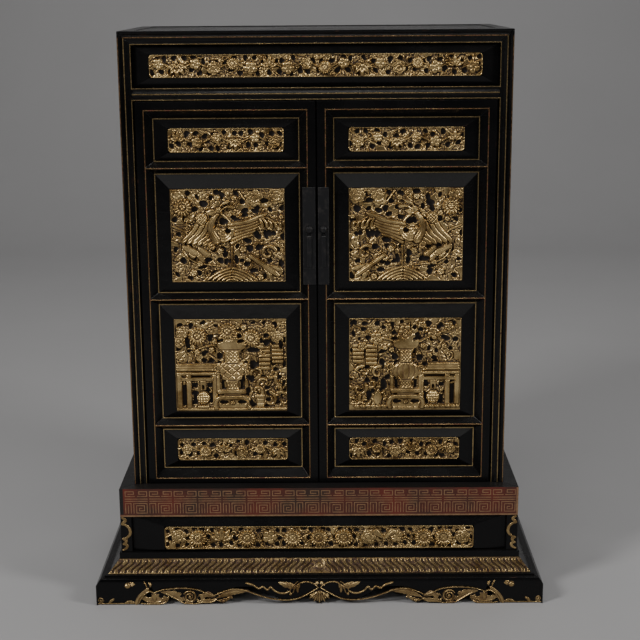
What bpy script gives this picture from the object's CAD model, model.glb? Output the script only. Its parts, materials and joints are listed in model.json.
# %% [markdown]
# # A lacquered shrine cabinet
#
# The cabinet is a black lacquered box with two doors, on a stepped plinth. Its doors, frieze
# and waist hold gilt carvings, and thin gilt lines follow its mouldings. The solid model gives
# every board its place and size. This notebook gives each of them its finish, carves the
# panels and lights the whole for a picture.

# %% Load the frame
import json
import math

import bmesh
import bpy
import numpy as np
from mathutils import Matrix, Vector

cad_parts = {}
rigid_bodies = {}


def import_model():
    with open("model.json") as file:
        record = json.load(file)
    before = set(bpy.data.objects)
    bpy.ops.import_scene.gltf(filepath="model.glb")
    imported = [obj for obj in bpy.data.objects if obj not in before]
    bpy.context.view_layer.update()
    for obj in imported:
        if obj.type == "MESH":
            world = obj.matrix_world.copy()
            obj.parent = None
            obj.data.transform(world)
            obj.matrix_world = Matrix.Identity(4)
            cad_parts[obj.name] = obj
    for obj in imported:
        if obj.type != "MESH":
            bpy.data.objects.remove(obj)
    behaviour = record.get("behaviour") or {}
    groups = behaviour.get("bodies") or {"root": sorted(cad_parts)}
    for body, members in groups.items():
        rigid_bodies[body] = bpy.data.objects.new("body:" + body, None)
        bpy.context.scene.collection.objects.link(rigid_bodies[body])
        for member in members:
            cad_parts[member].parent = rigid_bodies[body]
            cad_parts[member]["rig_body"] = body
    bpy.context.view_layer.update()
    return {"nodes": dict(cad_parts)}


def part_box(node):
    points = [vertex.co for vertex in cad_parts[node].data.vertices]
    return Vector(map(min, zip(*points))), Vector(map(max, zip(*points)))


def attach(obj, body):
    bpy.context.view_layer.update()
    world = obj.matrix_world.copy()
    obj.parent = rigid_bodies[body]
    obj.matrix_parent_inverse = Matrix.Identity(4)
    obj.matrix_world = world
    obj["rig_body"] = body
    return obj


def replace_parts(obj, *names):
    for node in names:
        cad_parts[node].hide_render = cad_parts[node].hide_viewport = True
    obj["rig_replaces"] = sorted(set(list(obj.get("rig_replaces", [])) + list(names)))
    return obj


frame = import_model()

# %% [markdown]
# ## Helpers for meshes
#
# A mesh can be made by hand, point by point, or grown from a simple start by Blender's own
# operators. The second way keeps the faces sound, so each piece here starts from a solid's own
# mesh, a grid or one face, and a few short helpers turn it into an object that rides on a body.

# %% Make an object from a mesh in the making
def show(name, data):
    """Puts an object with this data in the scene."""
    made = bpy.data.objects.new(name, data)
    bpy.context.scene.collection.objects.link(made)
    return made


def finish_piece(name, bm, finish, body, replaces=(), smooth=False):
    """Turns a bmesh into a piece that rides on a body, and hides the solids it stands for."""
    mesh = bpy.data.meshes.new(name)
    bm.to_mesh(mesh)
    bm.free()
    if smooth:
        mesh.shade_smooth()
    mesh.materials.append(finish)
    piece = show(name, mesh)
    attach(piece, body)
    if replaces:
        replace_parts(piece, *replaces)
    return piece


def body_of_node(node):
    return frame["nodes"][node]["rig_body"]


def is_point(part):
    return isinstance(part, bmesh.types.BMVert)


# %% Loft a solid through sections, or close a grid behind
def loft(bm, sections):
    """Grows a closed solid from one face, which is extruded and set on each next section."""
    first = bm.faces.new([bm.verts.new(spot) for spot in sections[0]])
    face = first
    made = list(first.verts)
    for section in sections[1:]:
        grown = bmesh.ops.extrude_face_region(bm, geom=[face])["geom"]
        if face is not first:
            bm.faces.remove(face)
        face = next(part for part in grown if isinstance(part, bmesh.types.BMFace))
        for vert, spot in zip(face.verts, section):
            vert.co = spot
        made += list(face.verts)
    shell = {near for vert in made for near in vert.link_faces}
    bmesh.ops.recalc_face_normals(bm, faces=list(shell))
    return bm


def closed_grid(columns, rows, face_marks=(), point_marks=()):
    """A unit grid whose rim is extruded and closed behind, and the set of its back points."""
    bm = bmesh.new()
    bmesh.ops.create_grid(bm, x_segments=columns, y_segments=rows, size=0.5)
    for name in face_marks:
        bm.faces.layers.float.new(name)
    for name in point_marks:
        bm.verts.layers.float.new(name)
    rim = [edge for edge in bm.edges if edge.is_boundary]
    grown = bmesh.ops.extrude_edge_only(bm, edges=rim)["geom"]
    bmesh.ops.holes_fill(bm, edges=[edge for edge in bm.edges if edge.is_boundary], sides=0)
    return bm, {part for part in grown if is_point(part)}


# %% [markdown]
# ## Node helpers and shared effects
#
# Old lacquer and old gilding have effects in common: rubbed edges, dust that settles on what
# faces up, and fine scratches. Each could be painted again in every material, but a node group
# is built once and placed with other values in each, so a change is made in one place.

# %% Short ways to add shader nodes
def add(tree, kind, settings=None, **inputs):
    """Adds a shader node. An input is a value or another node's output."""
    made = tree.nodes.new("ShaderNode" + kind)
    for name, value in (settings or {}).items():
        setattr(made, name, value)
    plug_all(tree, made.inputs, **inputs)
    return made


def plug(tree, socket, value):
    if isinstance(value, bpy.types.NodeSocket):
        tree.links.new(value, socket)
    else:
        socket.default_value = value


def plug_all(tree, sockets, **inputs):
    """Plugs values into the sockets of those names, with a space for each underscore."""
    for name, value in inputs.items():
        plug(tree, sockets[name.replace("_", " ")], value)


def calculate(tree, operation, *values, clamp=False):
    made = tree.nodes.new("ShaderNodeMath")
    made.operation = operation
    made.use_clamp = clamp
    for socket, value in zip(made.inputs, values):
        plug(tree, socket, value)
    return made.outputs[0]


def spread(tree, value, low, high, start=0.0, end=1.0):
    """Stretches the part of a value between low and high over start to end."""
    made = tree.nodes.new("ShaderNodeMapRange")
    for socket, level in zip(made.inputs, (value, low, high, start, end)):
        plug(tree, socket, level)
    return made.outputs[0]


def blend_colours(tree, share, first, second):
    made = tree.nodes.new("ShaderNodeMix")
    made.data_type = "RGBA"
    for number, value in ((0, share), (6, first), (7, second)):
        plug(tree, made.inputs[number], value)
    return made.outputs[2]


def mottle(tree, place, scale, detail=3.0, roughness=0.55):
    return add(tree, "TexNoise", Vector=place, Scale=scale, Detail=detail,
               Roughness=roughness).outputs["Fac"]


def place_on_object(tree):
    return tree.nodes.new("ShaderNodeTexCoord").outputs["Object"]


def roughen(tree, shader, height, strength, distance):
    """Lets a height show in the surface as unevenness."""
    made = add(tree, "Bump", Height=height, Strength=strength, Distance=distance)
    plug(tree, shader.inputs["Normal"], made.outputs[0])


# %% Start a group or a material
def new_group(name, inputs, outputs):
    """An empty node group with named number inputs and named outputs."""
    tree = bpy.data.node_groups.new(name, "ShaderNodeTree")
    for title, value in inputs.items():
        socket = tree.interface.new_socket(title, in_out="INPUT", socket_type="NodeSocketFloat")
        socket.default_value = value
    for title, kind in outputs.items():
        tree.interface.new_socket(title, in_out="OUTPUT", socket_type="NodeSocket" + kind)
    start = tree.nodes.new("NodeGroupInput")
    end = tree.nodes.new("NodeGroupOutput")
    return tree, start.outputs, end.inputs


def use_group(tree, group, **inputs):
    made = tree.nodes.new("ShaderNodeGroup")
    made.node_tree = group
    plug_all(tree, made.inputs, **inputs)
    return made.outputs


def new_finish(name):
    """A material with its tree and its Principled shader."""
    made = bpy.data.materials.new(name)
    made.use_nodes = True
    return made, made.node_tree, made.node_tree.nodes["Principled BSDF"]


# %% [markdown]
# ### Rubbed edges
#
# Lacquer wears first where hands and cloths touch it, along the arrises. A cavity shader could
# find them, but it slows the render. Here each piece carries a mark on the small faces of its
# bevels, and the group breaks that mark up with noise, so that wear comes and goes.

# %% Group for rubbed edges
edge_wear, given, out = new_group("edge_wear", {"Amount": 0.5, "Scale": 60.0},
                                  {"Worn": "Float"})
mark = add(edge_wear, "Attribute", {"attribute_name": "edge"}).outputs["Fac"]
patches = mottle(edge_wear, place_on_object(edge_wear), given["Scale"], 5.0, 0.65)
rubbed = calculate(edge_wear, "ADD", patches, spread(edge_wear, given["Amount"], 0, 1, -0.3, 0.3))
edge_wear.links.new(calculate(edge_wear, "MULTIPLY", mark,
                              spread(edge_wear, rubbed, 0.50, 0.62)), out["Worn"])
print("Groups:", edge_wear.name)

# %% [markdown]
# ### Dust and scuffs
#
# Dust lies on ledges and along slopes that face up, and it clings in specks elsewhere. The
# surface's own direction says how far it faces up, and two noises of other sizes break the
# film into clouds and grains. Scuffs are noise stretched along the boards.

# %% Group for dust and scuffs
dust_film, given, out = new_group("dust_film", {"Ledges": 0.5, "Specks": 0.3},
                                  {"Dust": "Float", "Scuffs": "Float"})
spot = place_on_object(dust_film)
facing = dust_film.nodes.new("ShaderNodeTexCoord").outputs["Normal"]
upward = add(dust_film, "SeparateXYZ", Vector=facing).outputs["Z"]
clouds = mottle(dust_film, spot, 14.0, 6.0, 0.7)
ledge = calculate(dust_film, "MULTIPLY", spread(dust_film, upward, 0.25, 0.95),
                  spread(dust_film, clouds, 0.35, 0.65, 0.35, 1.0))
grains = spread(dust_film, mottle(dust_film, spot, 900.0, 1.0), 0.66, 0.74)
speckle = calculate(dust_film, "MULTIPLY", grains, spread(dust_film, clouds, 0.46, 0.66))
film = calculate(dust_film, "ADD", calculate(dust_film, "MULTIPLY", ledge, given["Ledges"]),
                 calculate(dust_film, "MULTIPLY", speckle, given["Specks"]), clamp=True)
dust_film.links.new(film, out["Dust"])
stretched = add(dust_film, "Mapping", Vector=spot, Scale=(18.0, 18.0, 420.0)).outputs[0]
scratches = spread(dust_film, mottle(dust_film, stretched, 1.0, 4.0, 0.7), 0.62, 0.78)
dust_film.links.new(scratches, out["Scuffs"])
print("Groups:", dust_film.name)

# %% [markdown]
# ### Worn gold leaf
#
# Gold leaf was laid on red ground. It stays bright on what stands proud, wears to red and
# brown in patches, and is dark with dirt in the cuts. One group mixes these for carvings and
# for lines alike: a hollow mark darkens it, and noise wears it.

# %% Group for worn gold leaf
def colour(red, green, blue):
    return (red, green, blue, 1.0)


BRIGHT_GOLD = colour(0.74, 0.55, 0.26)
DULL_GOLD = colour(0.25, 0.15, 0.048)
RED_GROUND = colour(0.085, 0.028, 0.012)
GRIME = colour(0.010, 0.005, 0.003)

gold_leaf, given, out = new_group(
    "gold_leaf", {"Hollow": 0.0, "Wear": 0.3, "Dulling": 0.4},
    {"Colour": "Color", "Metal": "Float", "Roughness": "Float"})
spot = place_on_object(gold_leaf)
tone = spread(gold_leaf, mottle(gold_leaf, spot, 55.0, 5.0, 0.6), 0.35, 0.68)
gold = blend_colours(gold_leaf, calculate(gold_leaf, "MULTIPLY", tone, given["Dulling"]),
                     BRIGHT_GOLD, DULL_GOLD)
patches = mottle(gold_leaf, spot, 240.0, 5.0, 0.7)
limit = spread(gold_leaf, given["Wear"], 0, 1, 0.78, 0.36)
bare = spread(gold_leaf, calculate(gold_leaf, "SUBTRACT", patches, limit), -0.03, 0.04)
shade = spread(gold_leaf, given["Hollow"], 0.20, 0.70)
cut = spread(gold_leaf, given["Hollow"], 0.58, 0.95)
tinted = blend_colours(gold_leaf, calculate(gold_leaf, "MULTIPLY", shade, 0.75), gold,
                       RED_GROUND)
rubbed = blend_colours(gold_leaf, bare, tinted, RED_GROUND)
gold_leaf.links.new(blend_colours(gold_leaf, cut, rubbed, GRIME), out["Colour"])
leaf_left = calculate(gold_leaf, "SUBTRACT", 1.0,
                      calculate(gold_leaf, "MAXIMUM", bare, shade), clamp=True)
gold_leaf.links.new(calculate(gold_leaf, "MULTIPLY", leaf_left, 0.92), out["Metal"])
gold_leaf.links.new(spread(gold_leaf, leaf_left, 0, 1, 0.60, 0.27), out["Roughness"])
print("Groups:", gold_leaf.name)

# %% [markdown]
# ## The finishes
#
# Black lacquer is a deep, nearly colourless coat with a satin gloss that time has made uneven.
# A plain black would look like plastic, so the tone, the gloss and a faint ripple all vary,
# dust greys what faces up, and rubbed edges show a brown undercoat.

# %% Black lacquer
lacquer, tree, shader = new_finish("black_lacquer")
spot = place_on_object(tree)
dust = use_group(tree, dust_film, Ledges=0.035, Specks=0.14)
worn = use_group(tree, edge_wear, Amount=0.35, Scale=48.0)["Worn"]
cloud = mottle(tree, spot, 11.0, 4.0)
coat = blend_colours(tree, spread(tree, cloud, 0.3, 0.7), colour(0.0024, 0.0024, 0.0027),
                     colour(0.0050, 0.0047, 0.0049))
coat = blend_colours(tree, calculate(tree, "MULTIPLY", worn, 0.8), coat,
                     colour(0.062, 0.026, 0.014))
coat = blend_colours(tree, dust["Dust"], coat, colour(0.16, 0.15, 0.14))
gloss = calculate(tree, "ADD", spread(tree, cloud, 0.3, 0.7, 0.19, 0.31),
                  calculate(tree, "MULTIPLY", dust["Dust"], 0.5))
gloss = calculate(tree, "ADD", gloss, calculate(tree, "MULTIPLY", dust["Scuffs"], 0.14))
plug_all(tree, shader.inputs, Base_Color=coat, Roughness=gloss, Specular_IOR_Level=0.24)
roughen(tree, shader, mottle(tree, spot, 38.0, 3.0), 0.35, 0.0012)
print("Finish:", lacquer.name)

# %% [markdown]
# The gilding of the carvings and of the lines is the same leaf at another stage of wear, under
# a film of brown or red tarnish. The carvings carry a mark called hollow, which is worked out
# from their own relief further on.

# %% Gilding for carvings and for lines
BROWN_FILM = colour(0.030, 0.015, 0.008)


def gilding(name, wear, dulling, tarnish=0.0, stain=BROWN_FILM):
    made, tree, shader = new_finish(name)
    depth = add(tree, "Attribute", {"attribute_name": "hollow"}).outputs["Fac"]
    leaf = use_group(tree, gold_leaf, Hollow=depth, Wear=wear, Dulling=dulling)
    film = spread(tree, mottle(tree, place_on_object(tree), 30.0, 3.0), 0.3, 0.7,
                  tarnish * 0.8, min(1.0, tarnish * 1.2))
    plug_all(tree, shader.inputs, Base_Color=blend_colours(tree, film, leaf["Colour"], stain),
             Metallic=leaf["Metal"], Roughness=leaf["Roughness"])
    roughen(tree, shader, mottle(tree, place_on_object(tree), 700.0, 3.0), 0.4, 0.0003)
    return made


carved_gold = gilding("carved_gilding", 0.28, 0.95)
apron_gold = gilding("apron_gilding", 0.40, 0.85, 0.26, colour(0.080, 0.028, 0.014))
line_gold = gilding("worn_gold_line", 0.42, 0.45, 0.20)
reddened_line = gilding("reddened_gold_line", 0.50, 0.60, 0.48, colour(0.150, 0.026, 0.014))
petal_gold = gilding("petal_gilding", 0.58, 1.0, 0.50)
print("Finishes:", carved_gold.name, apron_gold.name, line_gold.name, reddened_line.name,
      petal_gold.name)

# %% [markdown]
# The fret is painted, not carved: thin gold-brown lines on red lacquer. Its pattern is marked
# on the faces of a fine grid, and the material reads that mark. The red is uneven, from
# vermilion to brown, and the lines have faded with it.

# %% Red lacquer with gold lines, and dull iron
fret_red, tree, shader = new_finish("red_fret_lacquer")
spot = place_on_object(tree)
patch = spread(tree, mottle(tree, spot, 16.0, 5.0, 0.65), 0.36, 0.66)
ground = blend_colours(tree, patch, colour(0.040, 0.018, 0.011), colour(0.145, 0.022, 0.012))
lines = add(tree, "Attribute", {"attribute_name": "gilt"}).outputs["Fac"]
faded = spread(tree, mottle(tree, spot, 120.0, 5.0, 0.7), 0.30, 0.62, 0.35, 1.0)
gilt = calculate(tree, "MULTIPLY", lines, faded)
ground = blend_colours(tree, gilt, ground, colour(0.36, 0.215, 0.110))
dark = add(tree, "Attribute", {"attribute_name": "black"}).outputs["Fac"]
ground = blend_colours(tree, dark, ground, colour(0.010, 0.009, 0.009))
plug_all(tree, shader.inputs, Base_Color=ground,
         Metallic=calculate(tree, "MULTIPLY", gilt, 0.35),
         Roughness=spread(tree, patch, 0, 1, 0.52, 0.38))
roughen(tree, shader, mottle(tree, spot, 260.0, 4.0), 0.4, 0.0004)

iron, tree, shader = new_finish("dark_iron")
spot = place_on_object(tree)
rust = spread(tree, mottle(tree, spot, 150.0, 5.0, 0.65), 0.52, 0.82)
worn = use_group(tree, edge_wear, Amount=0.8, Scale=300.0)["Worn"]
skin = blend_colours(tree, rust, colour(0.030, 0.030, 0.032), colour(0.042, 0.034, 0.029))
skin = blend_colours(tree, calculate(tree, "MULTIPLY", worn, 0.7), skin,
                     colour(0.13, 0.13, 0.13))
plug_all(tree, shader.inputs, Base_Color=skin, Metallic=spread(tree, rust, 0, 1, 0.75, 0.25),
         Roughness=spread(tree, rust, 0, 1, 0.42, 0.72))
roughen(tree, shader, mottle(tree, spot, 520.0, 4.0, 0.6), 0.45, 0.0004)
print("Finishes:", fret_red.name, iron.name)

# %% [markdown]
# ## Boards with rubbed arrises
#
# A solid's edges are knife sharp, and real lacquered wood never is: the coats round every
# arris, and each one catches a thread of light. The bevel could be a modifier, but only the
# bmesh operator says which faces it made, and those carry the mark that the wear reads.

# %% Soften a solid's edges
ARRIS = 0.0005
LIP_ARRIS = 0.00015
IRON_ARRIS = 0.00028
SHARP = math.radians(20)
FLAT = math.radians(0.5)
WELD = 0.00001


def soften(bm, width):
    """Rounds the sharp edges of a mesh and marks the new faces as edge."""
    bmesh.ops.remove_doubles(bm, verts=bm.verts, dist=WELD)
    bmesh.ops.dissolve_limit(bm, angle_limit=FLAT, verts=bm.verts, edges=bm.edges)
    sharp = [edge for edge in bm.edges if edge.is_manifold and edge.calc_face_angle() > SHARP]
    made = bmesh.ops.bevel(bm, geom=sharp, offset=width, offset_type="OFFSET", affect="EDGES",
                           segments=2, profile=0.5, material=-1, clamp_overlap=True)
    mark = bm.loops.layers.float.new("edge")
    for face in made["faces"]:
        for corner in face.loops:
            corner[mark] = 1.0


def soften_node(node, finish, width=ARRIS, change=None):
    """A softened copy of a solid, which takes the solid's place."""
    bm = bmesh.new()
    bm.from_mesh(frame["nodes"][node].data)
    if change:
        change(bm)
    soften(bm, width)
    piece = finish_piece(node + "_finished", bm, finish, body_of_node(node), [node],
                         smooth=True)
    weight = piece.modifiers.new("Flat faces", "WEIGHTED_NORMAL")
    weight.keep_sharp = True
    return piece


# %% [markdown]
# ## A carver's board
#
# The gilt panels are pierced carvings in low relief. They could be sculpted, or built from
# hundreds of small solids, but a carver works from one board: leaves and stems are left
# standing, the ground is cut away, and the spaces are pierced. The code does the same on a
# grid of heights. A motif is laid on over what lies behind it, its rim is rounded, and a thin
# cut runs round it, so that each shape reads apart from the next.

# %% The board and how a motif is laid on it
CELL = 0.00055
PIT = -0.0046
TOP = 0.0037


class Board:
    """Heights over a grid, in metres from the face of the wood that surrounds the carving."""

    def __init__(self, wide, tall, cell=CELL, mirrored=False, ground=0.0):
        self.wide, self.tall, self.mirrored = wide, tall, mirrored
        self.columns, self.rows = round(wide / cell), round(tall / cell)
        self.x, self.z = np.meshgrid(np.linspace(0, wide, self.columns + 1),
                                     np.linspace(0, tall, self.rows + 1))
        self.high = np.full(self.x.shape, ground)

    def at(self, across, up):
        """A place on the board from percentages of its width and height."""
        across = 100 - across if self.mirrored else across
        return np.array((across / 100 * self.wide, up / 100 * self.tall))

    def near(self, low, high):
        """The part of the grid between two corners."""
        first = np.maximum(np.floor(np.array(low) / (self.wide, self.tall)
                                    * (self.columns, self.rows)).astype(int), 0)
        last = np.ceil(np.array(high) / (self.wide, self.tall)
                       * (self.columns, self.rows)).astype(int) + 1
        return slice(first[1], max(last[1], first[1])), slice(first[0], max(last[0], first[0]))

    def lay(self, part, inside, level, shoulder=0.0010, gap=0.0010, cut=0.0018):
        """Lays a shape on. Inside is the way in from its rim, and less than zero outside."""
        roll = np.clip(1 - inside / shoulder, 0, 1)
        under = self.high[part]
        around = np.clip(1 + inside / gap, 0, 1)
        self.high[part] = np.where(inside > 0, level - shoulder * roll ** 2,
                                   under - cut * around)


def dome(reach):
    return np.sqrt(np.clip(1 - reach ** 2, 0, 1))


def ridges(share, count):
    """Rounded ridges with sharp valleys between, from 0 in a valley to 1 on a ridge."""
    return np.abs(np.sin(math.pi * share * count))


# %% [markdown]
# Nearly every motif is a stroke of the gouge along a curve: a leaf, a feather, a stem, a
# scroll. So one function lays a band along a path, with its own width and surface at each
# point of the way, and the motifs are short calls of it.

# %% A band along a path
def smooth_path(spots, steps=5):
    """A smooth curve through a few places."""
    spots = np.array(spots, float)
    ends = (2 * spots[0] - spots[1], 2 * spots[-1] - spots[-2])
    spots = np.vstack([ends[0], spots, ends[1]])
    made = []
    for a, b, c, d in zip(spots, spots[1:], spots[2:], spots[3:]):
        for share in np.arange(steps) / steps:
            made.append(0.5 * (2 * b + (c - a) * share + (2 * a - 5 * b + 4 * c - d) * share ** 2
                               + (3 * b - a - 3 * c + d) * share ** 3))
    made.append(spots[-2])
    return np.array(made)


def band(board, path, half, level, **rim):
    """Lays a band on. Half and level are functions of the way along and across, 0-1 and -1-1."""
    path = np.array(path, float)
    runs = path[1:] - path[:-1]
    lengths = np.hypot(runs[:, 0], runs[:, 1])
    total = lengths.sum()
    widest = max(half(share) for share in np.linspace(0, 1, 9))
    reach = widest + 0.001
    part = board.near(path.min(axis=0) - reach, path.max(axis=0) + reach)
    x, z = board.x[part], board.z[part]
    if x.size == 0:
        return
    near = np.full(x.shape, 1e9)
    share = np.zeros_like(x)
    side = np.ones_like(x)
    done = 0.0
    for start, run, length in zip(path, runs, lengths):
        if length == 0:
            continue
        dx, dz = x - start[0], z - start[1]
        way = np.clip((dx * run[0] + dz * run[1]) / length ** 2, 0, 1)
        away = np.hypot(dx - way * run[0], dz - way * run[1])
        closer = away < near
        near = np.where(closer, away, near)
        share = np.where(closer, (done + way * length) / total, share)
        side = np.where(closer, np.sign(run[0] * dz - run[1] * dx), side)
        done += length
    width = half(share)
    across = side * near / np.maximum(width, 1e-6)
    board.lay(part, width - near, level(share, np.clip(across, -1, 1)), **rim)


# %% Leaves, stems, feathers and scrolls
def heading(angle):
    """One unit of length in a direction."""
    return np.array((math.cos(angle), math.sin(angle)))


def rounded(top, half):
    """The surface of a round bar, top at its middle line."""
    return lambda share, across: top + half * (dome(across) - 1)


def pointed(width, first=0.02, last=0.98):
    """Wide in the middle and narrow at both ends."""
    return lambda share: width * np.sin(math.pi * np.clip(share, first, last)) ** 0.7


def blunt(width, root=0.35):
    """Narrow at the root, wide and round at the tip."""
    def half(share):
        grown = root + (1 - root) * np.clip(share / 0.7, 0, 1)
        return width * grown * np.sqrt(np.clip((1.0 - share) / 0.16, 0, 1))
    return half


def leaf(board, spot, angle, length, width, top, veins=4, bend=0.25):
    """A pointed leaf with a midrib and slanting veins, bent to one side."""
    ahead = heading(angle)
    aside = np.array((-ahead[1], ahead[0])) * bend * length
    path = smooth_path([spot, spot + ahead * length / 2 + aside, spot + ahead * length], 4)

    def level(share, across):
        vein = ridges(share + 0.22 * np.abs(across), veins)
        rib = np.clip(1 - np.abs(across) / 0.20, 0, 1)
        return top + 0.0011 * vein - 0.0006 * np.abs(across) ** 2 - 0.0012 * rib

    band(board, path, pointed(width), level)


def stem(board, spots, width, top):
    path = smooth_path([board.at(*spot) for spot in spots])
    band(board, path, lambda share: width * (1 - 0.35 * share), rounded(top, width))


def feather(board, spots, width, top, barbs=3, root=0.35, cut=0.0018):
    """A long feather with barbs along it."""
    path = smooth_path([board.at(*spot) for spot in spots])

    def level(share, across):
        return top + 0.0010 * ridges(across / 2 + 0.5, barbs) - 0.0008 * np.abs(across) ** 2

    band(board, path, blunt(width, root), level, cut=cut)


def scroll(board, spot, radius, turns, start, top, width=0.0011, way=1):
    """A volute that winds in to its eye."""
    path = []
    for step in range(int(14 * turns) + 1):
        share = step / (14 * turns)
        angle = start + way * math.tau * turns * share
        path.append(spot + radius * (1 - 0.86 * share) * heading(angle))
    band(board, path, lambda share: width * (1 - 0.4 * share), rounded(top, width))


# %% [markdown]
# Flowers are round, so they are drawn about a middle: how far a point lies from it, and in
# which direction, gives the rim of the petals, their folds and the eye. Plum blossoms,
# chrysanthemums and peonies differ only in those three.

# %% Flowers
def polar(board, spot, radius):
    part = board.near(np.array(spot) - radius * 1.4, np.array(spot) + radius * 1.4)
    dx, dz = board.x[part] - spot[0], board.z[part] - spot[1]
    return part, dx, dz, np.hypot(dx, dz) / radius, np.arctan2(dz, dx)


def disc(board, spot, radius, surface, **rim):
    """A round patch. Surface gives its level from the way out, and the offsets in radii."""
    part, dx, dz, reach, _ = polar(board, spot, radius)
    board.lay(part, (1 - reach) * radius, surface(reach, dx / radius, dz / radius), **rim)


def crossed_cuts(across, up, count, wide):
    """Two sets of slanting cuts, 1 in the middle of a cut and 0 between them."""
    first, second = (1 - ridges(up + side * across, count) / wide for side in (1, -1))
    return np.clip(np.maximum(first, second), 0, 1)


def blossom(board, spot, radius, top, turn=0.0):
    """A plum blossom: five round petals about a beaded eye."""
    part, _, _, reach, angle = polar(board, spot, radius)
    lobe = np.abs(np.cos(5 * (angle + turn) / 2))
    inside = (0.66 + 0.34 * lobe ** 0.6 - reach) * radius
    cup = 0.0011 * np.sin(math.pi * np.clip(reach, 0, 1)) * lobe ** 0.5
    eye = 0.0014 * dome(reach / 0.30)
    seam = 0.0010 * np.clip(1 - lobe / 0.25, 0, 1) * (reach > 0.3)
    board.lay(part, inside, top + cup - seam + eye - 0.0009 * dome(reach / 0.42))


def chrysanthemum(board, spot, radius, top, petals=19, heart=0.45):
    """A ring of narrow petals, a ring of beads and a flat heart that is cut crosswise."""
    part, dx, dz, reach, angle = polar(board, spot, radius)
    ray = np.abs(np.cos(petals * angle / 2))
    inside = (0.84 + 0.16 * ray - reach) * radius
    petal = 0.0028 * (ray - 0.6) * np.clip((reach - heart - 0.15) / 0.12, 0, 1)
    check = ridges((dx + dz) / radius, 2.4) * ridges((dx - dz) / radius, 2.4)
    middle = np.where(reach < heart, 0.0013 * check - 0.0010, 0)
    ring = 0.0016 * np.clip(1 - np.abs(reach - heart) / 0.08, 0, 1)
    beads = 0.0009 * np.clip(1 - np.abs(reach - heart - 0.12) / 0.08, 0, 1) * ray
    board.lay(part, inside, top + petal + middle + beads - ring)


def peony(board, spot, radius, top, turn=0.0):
    """Three rings of cupped petals, laid from the outside in."""
    for count, away, size, lift in ((6, 0.60, 0.44, 0.0), (5, 0.32, 0.36, 0.0006),
                                    (1, 0.0, 0.28, 0.0010)):
        for step in range(count):
            angle = turn + lift * 900 + math.tau * step / count
            middle = np.array(spot) + away * radius * heading(angle)
            part, _, _, reach, around = polar(board, middle, size * radius)
            outward = np.cos(around - angle)
            fold = ridges(around / math.tau, 9)
            inside = (0.90 + 0.10 * fold - reach) * size * radius
            level = top + lift + 0.0010 * reach * np.clip(outward + 0.4, 0, 1) + 0.0003 * fold
            board.lay(part, inside, level, shoulder=0.0006, gap=0.0008, cut=0.0013)


def bud(board, spot, radius, top):
    disc(board, spot, radius,
         lambda reach, across, up: top + radius * (0.55 * dome(reach) - 0.3))


# %% [markdown]
# Straight work, such as a table or a ledge, is cut with a chisel: bars with flat faces and
# grooves. The pierced spaces are blunt holes of many sizes, spaced evenly by eye, so a jittered
# grid places them and a wobble in the rim keeps them from looking drilled.

# %% Bars, holes and the leafy ground
def bar(board, low, high, top, grooves=0, upright=False):
    """A straight bar between two corners, with grooves along it."""
    a, b = board.at(*low), board.at(*high)
    low, high = np.minimum(a, b), np.maximum(a, b)
    part = board.near(low - 0.001, high + 0.001)
    x, z = board.x[part], board.z[part]
    inside = np.minimum.reduce([x - low[0], high[0] - x, z - low[1], high[1] - z])
    share = (x - low[0]) / (high[0] - low[0]) if upright else (z - low[1]) / (high[1] - low[1])
    level = top + (0.0012 * ridges(share, grooves) if grooves else 0.0)
    board.lay(part, inside, level, shoulder=0.0006)


def pierce(board, spot, across, up, turn=0.0, square=False):
    """A hole through the board, seen as a deep pit with steep walls."""
    reach = max(across, up)
    part, dx, dz, _, _ = polar(board, spot, reach)
    along = dx * math.cos(turn) + dz * math.sin(turn)
    aside = dz * math.cos(turn) - dx * math.sin(turn)
    if square:
        inside = np.minimum(1 - np.abs(along) / across, 1 - np.abs(aside) / up)
    else:
        wobble = 1 + 0.06 * np.cos(3 * np.arctan2(aside, along) + 7 * turn)
        inside = wobble - np.hypot(along / across, aside / up)
    share = np.clip(inside / 0.14, 0, 1)
    smooth = share * share * (3 - 2 * share)
    board.high[part] += (PIT - board.high[part]) * smooth


def pierce_all(board, holes, up_parts=850, turned_by=1):
    """Blunt holes at places of the board, their sizes counted in parts of a metre."""
    for spot, across, up in holes:
        pierce(board, board.at(*spot), across / 850, up / up_parts,
               0.3 * math.sin(spot[turned_by]))


def scatter(board, random, spacing, jitter=0.35):
    """Places in a jittered grid, in random order."""
    columns = max(1, round(board.wide / spacing))
    rows = max(1, round(board.tall / spacing))
    made = []
    for column in range(columns):
        for row in range(rows):
            shift = random.uniform(-jitter, jitter, 2) + (0.25 if row % 2 else -0.25, 0)
            made.append(((column + 0.5 + shift[0]) * board.wide / columns,
                         (row + 0.5 + shift[1]) * board.tall / rows))
    random.shuffle(made)
    return np.array(made)


def leafy_ground(board, seed, leaf_length=0.023, hole_spacing=0.0165, hole_size=0.0048):
    """Leaves, little scrolls and stems all over, then the pierced holes."""
    random = np.random.default_rng(seed)
    for spot in scatter(board, random, leaf_length * 0.52):
        angle = random.uniform(0, math.tau)
        leaf(board, spot - 0.5 * leaf_length * heading(angle), angle,
             leaf_length * random.uniform(0.8, 1.2), leaf_length * 0.22,
             random.uniform(-0.0020, -0.0004), bend=random.uniform(-0.3, 0.3))
    for spot in scatter(board, random, leaf_length * 1.5):
        scroll(board, spot, leaf_length * 0.26, 1.1, random.uniform(0, math.tau), 0.0004,
               width=0.0012, way=random.choice((-1, 1)))
    for spot in scatter(board, random, hole_spacing, 0.22):
        size = hole_size * random.uniform(0.7, 1.15)
        pierce(board, spot, size, size * random.uniform(0.6, 0.95), random.uniform(0, math.pi))


# %% [markdown]
# ## From the board to a closed piece
#
# The heights become a mesh on a grid from the bmesh operator, whose rim is extruded back to
# the wall behind and closed there. Each point also keeps how deep it lies against its
# surroundings, because gold stays on what stands proud and dirt gathers in what doesn't.

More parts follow.
